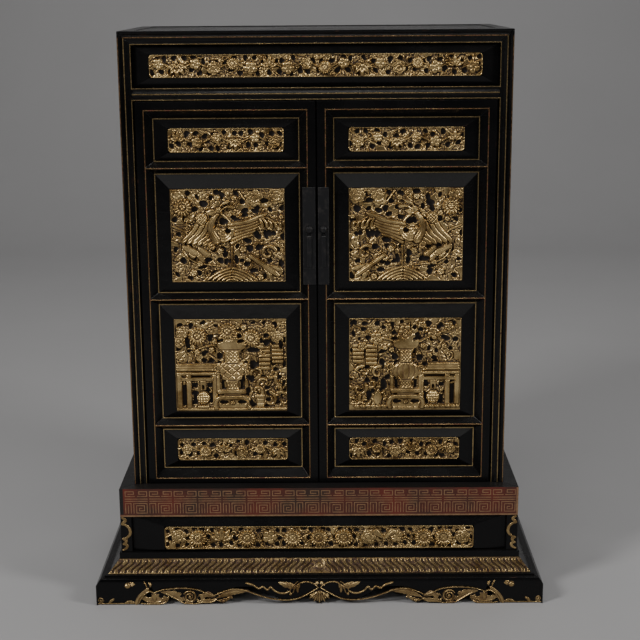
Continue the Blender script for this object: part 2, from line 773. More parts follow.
# %% Work out the hollows and close the piece
HOLLOW_REACH = 0.0024
RIM = 0.0011
SOFTNESS = 0.12


def blurred(values, cells):
    """A box blur by running sums, done twice in each direction."""
    for axis in (0, 1, 0, 1):
        count = values.shape[axis]
        ahead = np.minimum(np.arange(count) + cells, count - 1)
        behind = np.maximum(np.arange(count) - cells, 0)
        total = np.cumsum(values, axis=axis)
        first = np.take(values, [0], axis=axis) * 0
        total = np.concatenate([first, total], axis=axis)
        high = np.take(total, ahead + 1, axis=axis)
        low = np.take(total, behind, axis=axis)
        shape = [1, 1]
        shape[axis] = count
        values = (high - low) / (ahead + 1 - behind).reshape(shape)
    return values


def hollows(board):
    """0 on what stands proud, 1 deep in a cut or a hole."""
    beside = blurred(board.high, round(HOLLOW_REACH / CELL))
    broad = np.clip((beside - board.high) / 0.0020, -0.4, 1)
    fine = np.clip((blurred(board.high, 1) - board.high) / 0.00034, -0.5, 1)
    deep = np.clip((-0.0006 - board.high) / (-0.0006 - PIT * 0.6), 0, 1)
    return np.clip(0.14 + 0.62 * broad + 0.36 * fine + 1.2 * deep, 0, 1)


def add_rim(board, corner):
    """The thin border that the carver leaves standing round a panel, rounded at its corners."""
    aside = np.abs(board.x - board.wide / 2) - board.wide / 2 + corner
    above = np.abs(board.z - board.tall / 2) - board.tall / 2 + corner
    edge = (corner - np.hypot(np.maximum(aside, 0), np.maximum(above, 0))
            - np.minimum(np.maximum(aside, above), 0))
    board.high = np.where(edge < RIM, 0.0010 - 0.0040 * (edge / RIM - 0.5) ** 2, board.high)
    board.high = np.where(edge < -CELL / 2, PIT, board.high)


def panel_mesh(board, corner, front, back):
    """A closed mesh of a rectangular carving, its front facing the viewer."""
    bm, skirt = closed_grid(board.columns, board.rows)
    bm.verts.index_update()
    behind = [vert.index for vert in skirt]
    bmesh.ops.recalc_face_normals(bm, faces=bm.faces)
    mesh = bpy.data.meshes.new("carving")
    bm.to_mesh(mesh)
    bm.free()
    spots = np.zeros(len(mesh.vertices) * 3)
    mesh.vertices.foreach_get("co", spots)
    spots = spots.reshape(-1, 3)
    column = np.rint((spots[:, 0] + 0.5) * board.columns).astype(int)
    row = np.rint((spots[:, 1] + 0.5) * board.rows).astype(int)
    depth = front - board.high[row, column]
    hollow = hollows(board)[row, column]
    depth[behind] = back
    placed = np.column_stack([corner[0] + board.x[row, column], depth,
                              corner[1] + board.z[row, column]])
    mesh.vertices.foreach_set("co", placed.ravel())
    mark = mesh.attributes.new("hollow", "FLOAT", "POINT")
    mark.data.foreach_set("value", hollow)
    mesh.update()
    return mesh


def face_the_viewer(mesh):
    """Turns the whole mesh if its faces point inwards, which its volume tells."""
    bm = bmesh.new()
    bm.from_mesh(mesh)
    if bm.calc_volume(signed=True) < 0:
        bmesh.ops.reverse_faces(bm, faces=bm.faces)
        bm.to_mesh(mesh)
    bm.free()


def carve_panel(node, scene, seed, mirrored=False, beside=None, corner=0.0006):
    """Carves a board of the size and place of a node's solid, and takes its place."""
    low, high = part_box(node)
    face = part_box(beside or node.replace("carving", "panel"))[0].y
    board = Board(high.x - low.x, high.z - low.z, mirrored=mirrored)
    scene(board, seed)
    board.high = (1 - SOFTNESS) * board.high + SOFTNESS * blurred(board.high, 1)
    add_rim(board, corner)
    board.high = np.clip(board.high, PIT, TOP)
    mesh = panel_mesh(board, (low.x, low.z), face, high.y)
    face_the_viewer(mesh)
    mesh.shade_smooth()
    mesh.materials.append(carved_gold)
    piece = show(node.replace("carving", "gilt_carving"), mesh)
    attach(piece, body_of_node(node))
    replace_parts(piece, node)
    print(piece.name, len(mesh.polygons), "faces")
    return piece


# %% [markdown]
# ## The phoenix panels
#
# A phoenix with open wings stands on one leg over a rock, among peonies and chrysanthemums.
# What lies behind is laid on first: the leafy ground, the flowers, the rock and the tail, then
# the wings, and the bird's body and head last. The holes are pierced through all of it. The
# right panel is the left one turned round, on other leaves.

# %% Compose the phoenix
PHOENIX_BLOSSOMS = (
    ((36, 38), 4.6), ((43, 33), 4.8), ((25, 20), 4.4), ((19, 10), 5.2), ((41, 91), 4.6),
    ((32, 84), 4.0), ((79, 59), 4.4), ((87, 59), 4.6), ((95, 58), 4.4), ((63, 35), 4.8),
    ((68, 25), 4.6), ((78, 5), 4.8), ((56, 90), 4.0), ((50, 95), 3.6), ((14, 67), 3.8),
    ((97, 70), 3.6))
PHOENIX_HOLES = (
    ((46.5, 65), 5.4, 3.8), ((50, 55), 3.6, 2.8), ((47, 30), 3.4, 4.2), ((48, 22), 3.0, 3.8),
    ((57, 24), 2.8, 5.2), ((67, 44), 5.4, 2.8), ((75, 51), 3.2, 4.4), ((83, 50.5), 2.6, 5.6),
    ((90, 52), 2.8, 3.0), ((77, 37), 4.4, 3.4), ((66, 19), 3.8, 2.8), ((72, 12), 5.0, 2.6),
    ((32, 24), 4.4, 2.9), ((27, 16), 5.6, 2.0), ((74, 76), 4.6, 2.8), ((65, 72), 4.0, 2.6),
    ((55, 69), 3.6, 2.8), ((29, 84), 5.4, 3.8), ((41, 96), 4.8, 3.0), ((63, 86), 3.4, 2.8),
    ((82, 87), 5.0, 2.8))
SHOULDER_PATCH = 0.0078
BREAST_WIDE, BREAST_TALL = 0.0150, 0.0175


def arc(root, tip, across=0.0, up=0.0):
    """Three places from a root to a tip, the middle one moved aside."""
    return [root, ((root[0] + tip[0]) / 2 + across, (root[1] + tip[1]) / 2 + up), tip]


def lay_flowers(board):
    stem(board, [(2, 60), (14, 52), (10, 36), (20, 22), (42, 17)], 0.0016, 0.0010)
    stem(board, [(60, 97), (68, 84), (80, 72), (98, 60)], 0.0016, 0.0012)
    for spot, turn in (((93, 92), 0.2), ((74, 90), 1.4), ((6, 95), 0.4)):
        peony(board, board.at(*spot), 0.0110, 0.0016, turn)
    scroll(board, board.at(85, 31), 0.0110, 1.1, 0.4, 0.0022, width=0.0026)
    chrysanthemum(board, board.at(10.8, 80.5), 0.0122, 0.0026, 15, 0.38)
    for spot, size in PHOENIX_BLOSSOMS:
        blossom(board, board.at(*spot), size / 1000, 0.0018, turn=size * 3)


def lay_rock_and_tail(board):
    """A rock of chevrons, then the tail to the right of it and the long leaves to the left."""
    for step in range(5):
        for side in (-1, 1):
            reach = side * (23 - 4.4 * step)
            feather(board, [(53, 15.5 - 3.2 * step), (53 + reach * 0.5, 10.5 - 2.0 * step),
                            (53 + reach, 1)], 0.0021, 0.0010 + 0.0002 * step, 1, root=0.9)
    for tip in ((98, 13), (88, 2), (95, 6)):
        feather(board, [(69, 28), (81, 18), tip], 0.0036, 0.0020, 3, root=0.7)
    for root, tip in (((20, 34), (30, 22)), ((25, 36), (34, 27)), ((15, 38), (20, 26)),
                      ((11, 38), (24, 30))):
        feather(board, arc(root, tip), 0.0042, 0.0018, 4, root=0.7)


def lay_wings(board):
    """The left wing and the lattice on its shoulder, then the right wing in two rows."""
    for step in range(6):
        root, tip = (27 + 3.4 * step, 71 - 3.4 * step), (9 + 4.6 * step, 42 - 0.6 * step)
        feather(board, arc(root, tip, 1.5, -2), 0.0036, 0.0022 - 0.0001 * step, 2, root=0.8)
    shoulder = board.at(27, 68)
    bud(board, shoulder, SHOULDER_PATCH, 0.0022)
    disc(board, shoulder, SHOULDER_PATCH, lambda reach, across, up:
         0.0040 - 0.0024 * crossed_cuts(across, up, 1.8, 0.55) - 0.0010 * reach ** 2)
    for step in range(6):
        share = step / 5
        root, tip = (53 - 2 * share, 42 + 20 * share), (72 + 13 * share, 51 + 23 * share)
        feather(board, arc(root, tip, 0, 2.5 - 5 * share), 0.0033, 0.0016 + 0.0012 * share, 1,
                0.8, 0.0030)
    for step in range(5):
        feather(board, [(78 + 4 * step, 68 - step), (80 + 4 * step, 63), (80.5 + 4 * step, 58.5)],
                0.0024, 0.0027, 1, root=0.8)


def lay_body_and_head(board):
    """One leg, the breast, the neck, the beak, the head with its eye, and the crest."""
    stem(board, [(53, 38), (53, 24), (53, 13)], 0.0014, 0.0024)
    breast = board.at(46, 57)
    part = board.near(breast - 0.020, breast + 0.020)
    reach = np.hypot((board.x[part] - breast[0]) / BREAST_WIDE,
                     (board.z[part] - breast[1]) / BREAST_TALL)
    board.lay(part, np.minimum((1 - reach) * BREAST_WIDE, breast[1] + 0.001 - board.z[part]),
              0.0022 + 0.0013 * ridges(reach, 5))
    neck = smooth_path([board.at(*spot) for spot in ((40, 45), (35.5, 56), (37, 67), (43, 76))])
    band(board, neck, lambda share: 0.0056 - 0.0026 * share,
         lambda share, across: 0.0026 + 0.0011 * ridges(across / 2 + 0.5, 3)
         - 0.0009 * across ** 2)
    feather(board, [(43, 76), (48, 70), (53, 63)], 0.0024, 0.0026, 1, root=0.9)
    leaf(board, board.at(41, 77), math.pi + 0.10, 0.0150, 0.0042, 0.0030, 1, 0.10)
    bud(board, board.at(42.5, 77.5), 0.0044, 0.0034)
    bud(board, board.at(41.8, 78), 0.0012, 0.0044)
    feather(board, [(45, 78), (50, 81), (57, 80)], 0.0024, 0.0027, 2)
    feather(board, [(43, 80), (46, 84), (52, 87)], 0.0022, 0.0026, 2)


def phoenix_scene(board, seed):
    leafy_ground(board, seed)
    for lay_part in (lay_flowers, lay_rock_and_tail, lay_wings, lay_body_and_head):
        lay_part(board)
    pierce_all(board, PHOENIX_HOLES, up_parts=800, turned_by=0)


carve_panel("door_left_phoenix_carving", phoenix_scene, 11)
carve_panel("door_right_phoenix_carving", phoenix_scene, 12, mirrored=True)

# %% [markdown]
# ## The vase panels
#
# A footed vase full of flowers stands on a low scrolled table, with a taller table, a pot, a
# scholar's rock and a pile of books beside it. These are the treasures of a study, and their
# straight lines are set against the flowers. The left vase is square and cut with lozenges,
# the right one round and ribbed like a melon.

# %% Compose the vases
def side_treasures(board):
    """The tall table at one side, with a pot under it."""
    bar(board, (1, 44), (37, 52), 0.0016, 3)
    bar(board, (1, 39.5), (37, 43), 0.0026, 1)
    for low, high in ((1, 5.5), (9.5, 14), (33, 37.5)):
        bar(board, (low, 3), (high, 40), 0.0018, 1, upright=True)
    bar(board, (5, 33), (34, 36.5), 0.0010)
    for spot, across, up in (((7.5, 17), 2.9, 15.0), ((22.5, 38), 13.5, 1.9),
                             ((17.0, 28), 3.6, 3.4), ((30.4, 28), 3.6, 3.4),
                             ((17.4, 12), 3.0, 6.4), ((31, 14), 3.0, 7.4)):
        pierce(board, board.at(*spot), across / 1000, up / 1000, 0.0, square=True)
    bud(board, board.at(24.5, 14.5), 0.0090, 0.0016)
    disc(board, board.at(24.5, 14.5), 0.0088, lambda reach, across, up:
         0.0022 + 0.0015 * ridges(across, 2.5) * ridges(up, 2.5) - 0.001 * reach ** 2)
    bar(board, (19.5, 2), (29.5, 6.5), 0.0022, 1)
    bar(board, (22, 23), (27, 33), 0.0016)
    pierce(board, board.at(24.5, 26), 0.0017, 0.0036, 0.0)


def rock_and_books(board, seed):
    """Two piles of books at the other side, over a rock of scrolls and a small stand."""
    random = np.random.default_rng(seed)
    for step in range(6):
        bar(board, (75, 45 + 4.6 * step), (85, 49 + 4.6 * step), 0.0016 + 0.0003 * (step % 2), 1)
    for step in range(5):
        bar(board, (87, 52 + 4.2 * step), (97, 55.6 + 4.2 * step), 0.0012, 1)
    for spot in ((74, 41), (87, 42), (97, 33), (80, 30), (91, 24), (73, 22), (84, 12), (96, 12)):
        size = 0.0100 * random.uniform(0.8, 1.2)
        scroll(board, board.at(*spot), size, 0.8, random.uniform(0, math.tau), 0.0024,
               width=0.0027, way=random.choice((-1, 1)))
    bar(board, (71, 14), (80, 18), 0.0016, 1)
    bar(board, (73, 4), (79, 14), 0.0014, 2)


def stand_under_vase(board, middle):
    """A low table like a rolled plank, with two eyes and a flower between them."""
    bar(board, (middle - 13, 19), (middle + 13, 23.5), 0.0028, 1)
    bar(board, (middle - 8, 16), (middle + 8, 19.5), 0.0012)
    bar(board, (middle - 15, 3.5), (middle + 15, 16), 0.0004)
    for side in (-1, 1):
        pierce(board, board.at(middle + side * 8.2, 9.5), 0.0062, 0.0030, 0.0)
    path = [board.at(middle + across, up) for across, up in
            ((-14.5, 3.5), (-15.5, 9), (-12, 14.5), (0, 14.8), (12, 14.5), (15.5, 9), (14.5, 3.5))]
    band(board, smooth_path(path, 4), lambda share: 0.0028,
         lambda share, across: 0.0022 + 0.0012 * dome(across))
    blossom(board, board.at(middle, 9.5), 0.0034, 0.0022)


SQUARE_VASE = ((0.0, 9), (0.06, 8), (0.20, 8), (0.24, 13), (0.40, 16.5), (0.56, 16.5), (0.58, 16),
               (0.60, 10), (0.80, 10), (0.86, 13), (0.93, 18.5), (1.0, 19.5))
MELON_VASE = ((0.0, 10), (0.06, 9), (0.18, 7), (0.22, 9), (0.28, 15), (0.36, 18.5), (0.43, 19),
              (0.50, 17), (0.56, 12), (0.60, 8.5), (0.80, 8.5), (0.88, 11), (0.94, 16), (1.0, 17))
VASE_GROOVES = ((0.585, 0.0018), (0.88, 0.0016), (0.22, 0.0014))


def vase(board, middle, surface, outline):
    """The vase itself: foot, bellied body, neck and lip, with ears and a post each side."""
    for side in (-1, 1):
        pierce(board, board.at(middle + side * 8.6, 29), 0.0022, 0.0060, 0.0, square=True)
        bar(board, (middle + side * 12.6 - 1.6, 21), (middle + side * 12.6 + 1.6, 52), 0.0018,
            1, upright=True)
        scroll(board, board.at(middle + side * 14, 47), 0.0052, 1.4, 1.0, 0.0026,
               width=0.0013, way=side)
        scroll(board, board.at(middle + side * 12.5, 41), 0.0040, 1.2, 1.0, 0.0024,
               width=0.0012, way=-side)
    axis = [board.at(middle, 23), board.at(middle, 46), board.at(middle, 73)]
    levels, halves = np.array(outline).T

    def level(share, across):
        made = 0.0024 + 0.0012 * dome(across * 0.95) + surface(share, across)
        for groove, depth in VASE_GROOVES:
            made = made - depth * (np.abs(share - groove) < 0.014)
        neck_or_foot = (share > 0.62) & (share < 0.86) | (share > 0.05) & (share < 0.19)
        folds = ridges(across / 2 + 0.5 + 0.05 * np.sin(share * 80), 4)
        return made - 0.0016 * neck_or_foot * (1 - folds)

    band(board, axis, lambda share: np.interp(share, levels, 0.001 * halves), level,
         shoulder=0.0008)


def cut_in_belly(share, cuts):
    """Cuts, from 0 to 1, that show only where the vase is bellied."""
    return np.where((share > 0.24) & (share < 0.57), -0.0018 * cuts, 0.0)


def lozenges(share, across):
    return cut_in_belly(share, crossed_cuts(across, share * 4.5, 1.3, 0.45))


def melon_ribs(share, across):
    folds = ridges(np.arcsin(np.clip(across, -1, 1)) / math.pi + 0.5, 7)
    return cut_in_belly(share, (1 - folds) ** 1.5)


VASE_HOLES = (
    ((32, 81), 3.6, 3.0), ((40.5, 77), 4.6, 2.2), ((59, 76.5), 4.4, 2.4), ((58, 82), 2.8, 3.2),
    ((70, 66), 8.0, 3.2), ((70, 50), 4.4, 5.6), ((67, 36), 5.0, 3.8), ((65, 22), 2.8, 4.6),
    ((82, 82), 3.6, 3.0), ((82, 74), 4.2, 4.4), ((95, 72), 2.4, 6.0), ((90, 45), 3.2, 2.6),
    ((27, 64), 4.0, 2.2), ((26, 55), 3.4, 3.4), ((40, 60), 3.6, 4.4), ((12, 71), 3.0, 3.4),
    ((33, 55), 3.4, 2.8), ((68, 8), 3.0, 4.6), ((83, 12), 3.4, 2.8), ((82, 25), 3.4, 2.4),
    ((97, 30), 1.8, 5.0))
MELON_VASE_HOLES = (
    ((39, 82), 3.0, 2.8), ((40, 78), 5.0, 2.2), ((59, 78), 4.6, 2.2), ((60, 84), 3.4, 2.6),
    ((36, 88), 3.0, 2.8), ((83, 79), 3.4, 2.6), ((70, 64), 5.4, 2.6), ((70.5, 52), 3.6, 4.6),
    ((84, 47), 4.0, 2.4), ((69, 28), 4.0, 7.5), ((82, 16), 3.4, 6.4), ((59, 58), 4.0, 4.2),
    ((37, 57), 3.8, 4.6), ((32, 50), 3.6, 2.8), ((24, 57), 3.8, 2.2), ((87, 88), 3.8, 2.8),
    ((15, 79), 4.4, 2.8), ((20, 90), 3.0, 3.0), ((69, 90), 2.8, 2.8), ((96, 83), 2.2, 4.4))


def ground_of_treasures(board, seed):
    """What both vase panels share, behind their vases."""
    leafy_ground(board, seed, hole_spacing=0.0175, hole_size=0.0046)
    side_treasures(board)
    rock_and_books(board, seed)


def vase_scene(board, seed):
    """The left panel: chrysanthemums in a square vase cut with lozenges."""
    ground_of_treasures(board, seed)
    bar(board, (0, 0), (100, 3.5), 0.0014, 1)
    stem(board, [(52, 66), (40, 72), (26, 70), (14, 64)], 0.0014, 0.0018)
    stem(board, [(52, 70), (60, 78), (72, 72), (80, 62)], 0.0014, 0.0018)
    stem(board, [(30, 62), (38, 56), (44, 62)], 0.0013, 0.0018)
    vase(board, 51, lozenges, SQUARE_VASE)
    stand_under_vase(board, 51)
    for spot in ((20.5, 82), (47.5, 87), (68.4, 79.5)):
        chrysanthemum(board, board.at(*spot), 0.0124, 0.0026, 17, 0.40)
    for spot, turn in (((7, 86), 0.3), ((85, 88), 0.9), ((4, 76), 1.6), ((92, 80), 0.5)):
        peony(board, board.at(*spot), 0.0085, 0.0014, turn)
    for spot in ((16, 70), (20, 64), (33, 67), (36, 76), (62, 91), (57, 84), (76, 64)):
        blossom(board, board.at(*spot), 0.0044, 0.0022, turn=spot[0])
    pierce_all(board, VASE_HOLES)


def melon_vase_scene(board, seed):
    """The right panel: plum blossom in a round vase ribbed like a melon, and a fruit."""
    ground_of_treasures(board, seed)
    bar(board, (0, 0), (100, 6.5), 0.0004)
    for step in range(21):
        leaf(board, board.at(4.8 * step, 5.0), -0.35, 0.0092, 0.0025, 0.0026, 1, 0.12)
    stem(board, [(50, 68), (38, 74), (24, 82), (6, 90)], 0.0015, 0.0018)
    stem(board, [(50, 68), (62, 76), (78, 82), (96, 92)], 0.0015, 0.0018)
    stem(board, [(50, 70), (50, 82), (46, 94)], 0.0014, 0.0018)
    vase(board, 49, melon_ribs, MELON_VASE)
    stand_under_vase(board, 49)
    for spot, size in (((24, 84), 8.5), ((50, 86), 8.5), ((76, 78), 8.5), ((66, 90), 6.0),
                       ((35, 92), 6.0), ((11, 91), 6.0), ((88, 70), 6.0)):
        for step in range(5):
            angle = math.tau * step / 5 + size
            bud(board, board.at(*spot) + size / 1600 * heading(angle), size / 2100, 0.0018)
        chrysanthemum(board, board.at(*spot), size / 2400, 0.0024, 9)
    for spot in ((15, 70), (34, 70), (38, 62), (68, 68), (62, 66), (28, 60)):
        blossom(board, board.at(*spot), 0.0040, 0.0022, turn=spot[0])
    band(board, smooth_path([board.at(*spot) for spot in ((74, 22), (74.5, 14), (74.5, 6))]),
         pointed(0.0062, 0.06, 0.97),
         lambda share, across: 0.0020 + 0.0014 * dome(across)
         - 0.0007 * (1 - ridges(across / 2 + 0.5, 4)))
    pierce_all(board, MELON_VASE_HOLES)


carve_panel("door_left_vase_carving", vase_scene, 21)
carve_panel("door_right_vase_carving", melon_vase_scene, 22, mirrored=True)

# %% [markdown]
# ## The long strips
#
# Narrow panels take a running spray: one stem winds along, with flowers at even steps, leaves
# behind them and holes in what is left. The same recipe serves the frieze, the doors and
# the waist, with other flowers, so that no two strips repeat each other.

# %% Compose the sprays
STRIP_CORNER = 0.0045
STEM_LEVEL = 50
STEM_SWING = 16
STRIP_HOLE = 0.0040
WAIST_FLOWERS = (10.8, 26.6, 41.5, 49.9, 58.0, 83.8, 90.3)


def fan(board, spot, size, top, turn):
    """Five leaves that spread from one foot."""
    foot = spot - 0.5 * size * heading(turn)
    for step in (-2, 2, -1, 1, 0):
        angle = turn + 0.62 * step
        leaf(board, foot, angle, size * (1.9 - 0.18 * abs(step)), size * 0.36, top, 2, 0.0)


def spray(board, seed, flowers, size=0.0082):
    """A winding stem with flowers at given places along it, and holes in what is left."""
    leafy_ground(board, seed, 0.019, 0.2, 0.001)
    turns = max(2, round(board.wide / 0.048))
    path = [(100 * step / (4 * turns), STEM_LEVEL + STEM_SWING * math.sin(math.tau * step / 4))
            for step in range(4 * turns + 1)]
    stem(board, path, 0.0015, 0.0012)
    random = np.random.default_rng(seed + 100)
    for spot in scatter(board, random, 0.0125, 0.22):
        if min(np.hypot(*(spot - board.at(across, up))) / scale
               for across, up, kind, scale in flowers) > size * 0.75:
            pierce(board, spot, STRIP_HOLE * random.uniform(0.8, 1.2),
                   STRIP_HOLE * random.uniform(0.7, 0.95), random.uniform(0, 3))
    for across, up, kind, scale in flowers:
        spot = board.at(across, up)
        if kind == "plum":
            blossom(board, spot, size * scale, 0.0022, turn=across)
        elif kind == "chrysanthemum":
            chrysanthemum(board, spot, size * scale, 0.0022, petals=17)
        elif kind == "fan":
            fan(board, spot, size * scale, 0.0018, 1.57 if up > 50 else -1.57)
        else:
            peony(board, spot, size * scale, 0.0018, across)


def row_of_flowers(kinds, count, up, scale, wave=9.0):
    """Flowers spaced evenly along a strip, a little up and down in turn."""
    return [((step + 0.5) * 100 / count, up + wave * (-1) ** step, kinds[step % len(kinds)],
             scale * (1.0 if step % 2 else 0.86)) for step in range(count)]


def top_strip(board, seed):
    spray(board, seed, row_of_flowers(("fan", "plum", "peony"), 6, 50, 0.95))


def bottom_strip(board, seed):
    spray(board, seed, row_of_flowers(("peony", "chrysanthemum", "fan"), 6, 46, 1.0, 5.0))


def frieze_strip(board, seed):
    spray(board, seed, row_of_flowers(("plum", "fan", "plum", "peony", "chrysanthemum"), 18, 50,
                                      1.08))


def waist_strip(board, seed):
    """Beaded chrysanthemums in a row, with a peony at each end and a butterfly between."""
    flowers = [(4.5, 58, "peony", 1.1), (18.5, 56, "fan", 1.2), (34, 54, "plum", 1.2),
               (66, 52, "peony", 1.2), (75, 55, "plum", 1.1), (96.5, 52, "peony", 1.1)]
    flowers += [(across, 48, "chrysanthemum", 1.42) for across in WAIST_FLOWERS]
    spray(board, seed, flowers, size=0.0088)
    for side in (-1, 1):
        feather(board, [(71, 44), (71 + side * 1.6, 64), (71 + side * 3.4, 82)], 0.0046,
                0.0024, 3)


for number, name in enumerate(("left", "right")):
    carve_panel(f"door_{name}_top_carving", top_strip, 31 + number, bool(number),
                corner=STRIP_CORNER)
    carve_panel(f"door_{name}_bottom_carving", bottom_strip, 41 + number, bool(number),
                corner=STRIP_CORNER)
carve_panel("frieze_carving", frieze_strip, 51, corner=STRIP_CORNER)
carve_panel("waist_carving", waist_strip, 61, beside="fret_rail_front", corner=STRIP_CORNER)

# %% [markdown]
# ## The fret
#
# The rail above the waist is painted with a key fret. Each of its sixteen repeats has two
# hooks over two long lines, and below them a bar and a square spiral. A texture could show it,
# but square lines are easy to give as strokes on a lattice, and a grid of faces is marked
# wherever a stroke passes.

# %% Mark the fret on a fine grid
FRET_REPEATS = 16
LATTICE = 16
LINE = 0.00105
FRET_CELL = 0.00053
FRET_STRIP = 0.0060
FRET_END = 0.0024
FRET_FOOT = 0.0034
FRET_HEAD = 0.0022
FRET_STROKES = (
    ((0.8, 8.9), (15.2, 8.9)), ((0.8, 10.4), (15.2, 10.4)),
    ((7.2, 12.0), (0.9, 12.0), (0.9, 15.2), (6.2, 15.2), (6.2, 13.6), (2.6, 13.6)),
    ((8.8, 12.0), (15.1, 12.0), (15.1, 15.2), (9.8, 15.2), (9.8, 13.6), (13.4, 13.6)),
    ((4.6, 0.8), (4.6, 7.4), (0.9, 7.4), (0.9, 0.8)), ((2.7, 0.8), (2.7, 5.8)),
    ((6.4, 0.8), (6.4, 7.4), (15.1, 7.4), (15.1, 0.8), (8.2, 0.8), (8.2, 5.8), (13.3, 5.8),
     (13.3, 2.4), (10.0, 2.4), (10.0, 4.1), (11.7, 4.1)))


def fret_marks(x, z, wide, tall):
    """True on the gold lines of the fret, at places over the rail's face."""
    pitch = (wide - FRET_STRIP - FRET_END) / FRET_REPEATS
    rise = (tall - FRET_FOOT - FRET_HEAD) / LATTICE
    across = (x - FRET_STRIP) % pitch
    up = z - FRET_FOOT
    marked = np.zeros(x.shape, bool)
    for stroke in FRET_STROKES:
        for start, end in zip(stroke, stroke[1:]):
            a, b = sorted((start[0] * pitch / LATTICE, end[0] * pitch / LATTICE))
            c, d = sorted((start[1] * rise, end[1] * rise))
            marked |= ((across > a - LINE / 2) & (across < b + LINE / 2)
                       & (up > c - LINE / 2) & (up < d + LINE / 2))
    marked &= (x > FRET_STRIP) & (x < wide - FRET_END)
    return marked | (z < FRET_FOOT - LINE) | (x > wide - FRET_END)


low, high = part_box("fret_rail_front")
fret_wide, fret_tall = high.x - low.x, high.z - low.z
columns, rows = round(fret_wide / FRET_CELL), round(fret_tall / FRET_CELL)
bm, skirt = closed_grid(columns, rows, face_marks=("gilt", "black"))
gilt_mark = bm.faces.layers.float["gilt"]
black_mark = bm.faces.layers.float["black"]
painted = [face for face in bm.faces if not any(vert in skirt for vert in face.verts)]
middles = np.array([face.calc_center_median()[:2] for face in painted]) + 0.5
gilded = fret_marks(middles[:, 0] * fret_wide, middles[:, 1] * fret_tall, fret_wide, fret_tall)
for face in bm.faces:
    face[black_mark] = 1.0
for face, spot, gilt in zip(painted, middles, gilded):
    left_of_fret = spot[0] * fret_wide < FRET_STRIP - LINE and spot[1] * fret_tall > FRET_FOOT
    face[black_mark] = float(left_of_fret)
    face[gilt_mark] = float(gilt)
for vert in bm.verts:
    x = low.x + (vert.co.x + 0.5) * fret_wide
    behind = vert in skirt
    if behind:
        x = max(low.x + high.y - low.y, min(high.x - (high.y - low.y), x))
    vert.co = (x, high.y if behind else low.y, low.z + (vert.co.y + 0.5) * fret_tall)
bmesh.ops.recalc_face_normals(bm, faces=bm.faces)
print("Fret:", columns, "by", rows, "faces")
finish_piece("painted_fret_rail", bm, fret_red, "cabinet", ["fret_rail_front"])

# %% [markdown]
# ## The petal band
#
# Under the waist runs a sloping band of S-shaped gadroons, gilt on red, over a plain lacquered
# ledge. They lean away from a small domed boss in the middle. A grid is laid on the slope and
# pushed in along curved grooves.

# %% Carve the petal band
PETAL_PITCH = 0.0086
PETAL_LEAN = 0.0110
GROOVE = 0.0026
PETAL_CELL = 0.00065
PETAL_LEDGE = 0.0020
PETAL_BORDER = 0.07
FOOT_INSET = 0.0042
HEAD_INSET = 0.0182
BOSS_HALF = 0.0085
BOSS_DOME = 0.58
BOSS_RING = 0.82
BOSS_RIM = 0.95


def petal_surface(x, up):
    """How far the band is sunk at a place, and how strong its hollow mark is there."""
    bow = 1.5 * math.sin(math.tau * (up - 0.5)) / math.tau
    run = abs(x) + PETAL_LEAN * (up - 0.5 + bow) - BOSS_HALF
    share = (run / PETAL_PITCH) % 1
    rib = math.sin(math.pi * share)
    groove = max(0.0, 1 - min(share, 1 - share) / 0.24)
    sunk = GROOVE * groove * min(1, 4 * (1.04 - up)) - 0.0004 * rib
    reach = math.hypot(x / BOSS_HALF, (up - 0.5) * 2.2)
    if run < 0:
        sunk, groove = 0.0008, 0.25
    if reach < BOSS_RIM:
        sunk = 0.0006 - 0.0018 * math.sqrt(max(0, 1 - (reach / BOSS_DOME) ** 2))
        sunk -= 0.0010 * max(0.0, 1 - abs(reach - BOSS_RING) / 0.13)
        groove = max(0.0, 1 - abs(reach - 0.65) / 0.09)
    if min(up, 1 - up) / PETAL_BORDER < 1:
        sunk, groove = 0.0, 0.15
    return sunk, min(1.0, 0.12 + 0.85 * groove + 0.10 * (1 - rib))


low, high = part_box("petal_moulding_front")
deep = high.y - low.y
bm = bmesh.new()
loft(bm, [[(side * (high.x - away), low.y + away, low.z + rise)
           for away, rise in ((0, 0), (0, PETAL_LEDGE), (deep, PETAL_LEDGE), (deep, 0))]
          for side in (-1, 1)])
finish_piece("petal_ledge", bm, lacquer, "cabinet")
slope_rise = high.z - low.z - PETAL_LEDGE
slope_run = HEAD_INSET - FOOT_INSET
half_foot = high.x - FOOT_INSET
half_head = high.x - HEAD_INSET
bm, skirt = closed_grid(round(2 * half_foot / PETAL_CELL),
                        round(math.hypot(slope_rise, slope_run) / PETAL_CELL),
                        point_marks=("hollow",))
hollow_mark = bm.verts.layers.float["hollow"]
out = Vector((0, -slope_rise, slope_run)).normalized()
for vert in bm.verts:
    up = vert.co.y + 0.5
    x = vert.co.x * 2 * (half_foot + (half_head - half_foot) * up)
    z = low.z + PETAL_LEDGE + slope_rise * up
    if vert in skirt:
        vert.co = (x * 0.985, high.y, z)
        continue
    sunk, vert[hollow_mark] = petal_surface(x, up)
    vert.co = Vector((x, low.y + FOOT_INSET + slope_run * up, z)) - out * sunk
bmesh.ops.recalc_face_normals(bm, faces=bm.faces)
print("Petal band:", len(bm.faces), "faces")
finish_piece("petal_band", bm, petal_gold, "cabinet",
             ["petal_moulding_front"], smooth=True)

# %% [markdown]
# ## Gilt lines
#
# Thin raised beads frame every field: round the body, the frieze, the door opening, each door
# and each of its panels. Some are gold, and the others have worn to a reddened gold. A bead
# could be a curve with a bevel, but its corners would round. Here a closed frame is a rectangle
# that is inset, emptied and extruded, so that its corners are mitred, and an open line is
# lofted from one small face.

# %% Frames and runs of bead
BEAD = 0.00095
EDGE_LINE, POST_LINE, CROSS_LINE, PANEL_LINE = 0.0011, 0.0012, 0.0013, 0.0015
BEAD_RISE = 0.00045
BEAD_SINK = 0.0002


